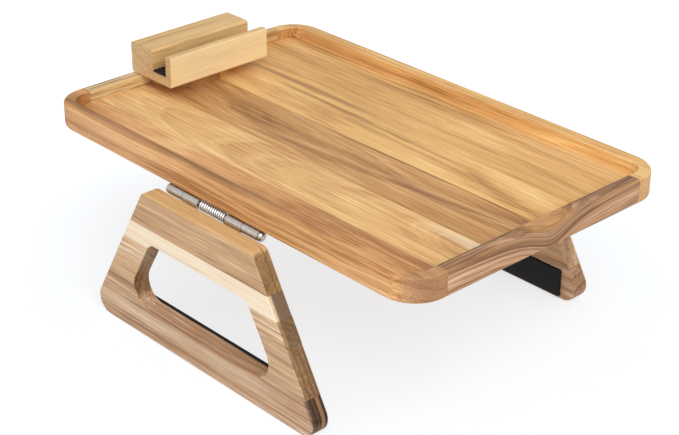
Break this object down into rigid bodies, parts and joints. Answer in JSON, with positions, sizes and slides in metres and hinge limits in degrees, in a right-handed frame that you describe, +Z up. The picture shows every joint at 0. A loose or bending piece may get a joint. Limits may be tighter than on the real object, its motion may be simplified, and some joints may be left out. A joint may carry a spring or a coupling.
{
  "type": "sofa arm tray",
  "caption": "Staved wooden tray with a routed recess on two spring-hinged trapezoid legs that grip a sofa arm, with a turning slotted phone holder.",
  "frame": {"origin": "on the floor plane that the feet rest on, under the middle of the tray", "axes": "+X along the tray's long side, away from the phone holder; +Y from the front leg to the back leg; +Z up"},
  "size_m": [0.39, 0.283, 0.1706],
  "materials": {
    "wood_rose": "oiled, satin, planed and sanded",
    "wood_gold": "oiled, satin, planed and sanded",
    "wood_walnut": "oiled, satin, planed and sanded",
    "wood_cream": "oiled, satin, planed and sanded",
    "wood_amber": "oiled, satin, planed and sanded",
    "wood_holder": "oiled, satin, planed and sanded",
    "hinge_steel": "bright zinc-plated",
    "spring_steel": "bright drawn wire",
    "black_rubber": "matt, soft",
    "black_nylon": "smooth, matt",
    "brass": "turned"
  },
  "bodies": {
    "tray": {"tray_stave_1": "wood_rose", "tray_stave_2": "wood_gold", "tray_stave_3": "wood_walnut", "tray_stave_4": "wood_gold", "tray_stave_5": "wood_gold", "tray_stave_6": "wood_amber", "left_end_rail": "wood_walnut", "right_end_rail": "wood_walnut", "pivot_washer": "black_nylon", "pivot_head_washer": "hinge_steel", "front_hinge_tray_leaf": "hinge_steel", "front_hinge_pin": "hinge_steel", "front_hinge_spring": "spring_steel", "front_tray_screws": "hinge_steel", "back_hinge_tray_leaf": "hinge_steel", "back_hinge_pin": "hinge_steel", "back_hinge_spring": "spring_steel", "back_tray_screws": "hinge_steel"},
    "front_leg": {"front_leg_top_stave": "wood_rose", "front_leg_shoulder_stave": "wood_cream", "front_leg_upper_left": "wood_gold", "front_leg_upper_right": "wood_gold", "front_leg_lower_left": "wood_walnut", "front_leg_lower_right": "wood_gold", "front_leg_foot_stave": "wood_rose", "front_grip_pad": "black_rubber", "front_hinge_leg_leaf": "hinge_steel", "front_leg_screws": "hinge_steel"},
    "back_leg": {"back_leg_top_stave": "wood_gold", "back_leg_shoulder_stave": "wood_cream", "back_leg_upper_left": "wood_gold", "back_leg_upper_right": "wood_cream", "back_leg_lower_left": "wood_walnut", "back_leg_lower_right": "wood_gold", "back_leg_foot_stave": "wood_walnut", "back_grip_pad": "black_rubber", "back_hinge_leg_leaf": "hinge_steel", "back_leg_screws": "hinge_steel"},
    "phone_holder": {"phone_holder_block": "wood_holder", "phone_slot_pad": "black_rubber", "pivot_bolt": "hinge_steel", "pivot_insert": "brass"}
  },
  "joints": [
    {"name": "front_leg_hinge", "type": "hinge", "parent": "tray", "child": "front_leg", "pos_m": [0, -0.1233, 0.12185], "axis": [-1, 0, 0], "range_deg": [-90, 90], "stiffness_Nm_per_rad": 0.12, "springref_deg": -34.38, "deforming": ["front_hinge_spring"]},
    {"name": "back_leg_hinge", "type": "hinge", "parent": "tray", "child": "back_leg", "pos_m": [0, 0.1233, 0.12185], "axis": [1, 0, 0], "range_deg": [-90, 90], "stiffness_Nm_per_rad": 0.12, "springref_deg": -34.38, "deforming": ["back_hinge_spring"]},
    {"name": "phone_holder_turn", "type": "hinge", "parent": "tray", "child": "phone_holder", "pos_m": [-0.178, 0.001, 0.1459], "axis": [0, 0, 1], "continuous": true}
  ]
}
